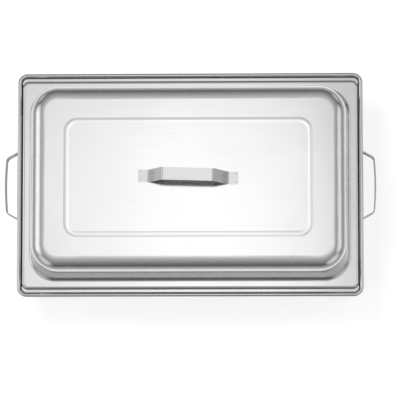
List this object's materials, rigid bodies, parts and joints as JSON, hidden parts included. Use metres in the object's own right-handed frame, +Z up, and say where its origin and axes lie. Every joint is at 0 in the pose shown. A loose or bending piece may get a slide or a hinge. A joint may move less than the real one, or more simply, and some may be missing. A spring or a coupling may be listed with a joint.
{
  "type": "chafing dish",
  "caption": "Full-size buffet chafing dish: lift-off domed lid, food pan hung in a water pan, legged strip frame, burner shelf and covered fuel holders.",
  "frame": {"origin": "on the table, under the middle of the dish", "axes": "+X along the dish's long side, -Y towards the guest, +Z up"},
  "size_m": [0.602, 0.364, 0.3353],
  "materials": {
    "lid_steel": "bright polished",
    "pan_steel": "polished",
    "strip_steel": "satin strip",
    "frame_steel": "polished sheet",
    "burner_steel": "satin",
    "fastener_steel": "bright",
    "cap_plastic": "matte black",
    "knob_plastic": "satin black"
  },
  "bodies": {
    "frame": {"frame_band": "frame_steel", "side_handle_left": "strip_steel", "side_handle_right": "strip_steel", "leg_front_left": "frame_steel", "leg_front_right": "frame_steel", "leg_rear_left": "frame_steel", "leg_rear_right": "frame_steel", "foot_cap_front_left": "cap_plastic", "foot_cap_front_right": "cap_plastic", "foot_cap_rear_left": "cap_plastic", "foot_cap_rear_right": "cap_plastic", "leg_rivets": "fastener_steel", "cross_bar_left": "frame_steel", "cross_bar_right": "frame_steel", "burner_shelf": "frame_steel", "bar_screws": "fastener_steel", "bar_nuts": "fastener_steel", "shelf_screws": "fastener_steel", "shelf_nuts": "fastener_steel"},
    "water_pan": {"water_pan": "pan_steel"},
    "food_pan": {"food_pan": "pan_steel"},
    "lid": {"lid_shell": "lid_steel", "lid_handle": "strip_steel"},
    "fuel_holder_left": {"fuel_cup_left": "burner_steel", "fuel_cover_left": "burner_steel", "damper_pivot_left": "fastener_steel"},
    "damper_left": {"damper_left": "burner_steel", "damper_knob_left": "knob_plastic"},
    "fuel_holder_right": {"fuel_cup_right": "burner_steel", "fuel_cover_right": "burner_steel", "damper_pivot_right": "fastener_steel"},
    "damper_right": {"damper_right": "burner_steel", "damper_knob_right": "knob_plastic"}
  },
  "joints": [
    {"name": "water_pan_lift", "type": "slide", "parent": "frame", "child": "water_pan", "axis": [0, 0, 1], "range_m": [0, 0.1]},
    {"name": "food_pan_lift", "type": "slide", "parent": "water_pan", "child": "food_pan", "axis": [0, 0, 1], "range_m": [0, 0.08]},
    {"name": "lid_lift", "type": "slide", "parent": "food_pan", "child": "lid", "axis": [0, 0, 1], "range_m": [0, 0.09]},
    {"name": "fuel_holder_left_lift", "type": "slide", "parent": "frame", "child": "fuel_holder_left", "axis": [0, 0, 1], "range_m": [0, 0.043]},
    {"name": "damper_left_swing", "type": "hinge", "parent": "fuel_holder_left", "child": "damper_left", "pos_m": [-0.13, 0.034, 0.0564], "axis": [0, 0, 1], "range_deg": [-100, 0]},
    {"name": "fuel_holder_right_lift", "type": "slide", "parent": "frame", "child": "fuel_holder_right", "axis": [0, 0, 1], "range_m": [0, 0.043]},
    {"name": "damper_right_swing", "type": "hinge", "parent": "fuel_holder_right", "child": "damper_right", "pos_m": [0.13, 0.034, 0.0564], "axis": [0, 0, 1], "range_deg": [-100, 0]}
  ]
}
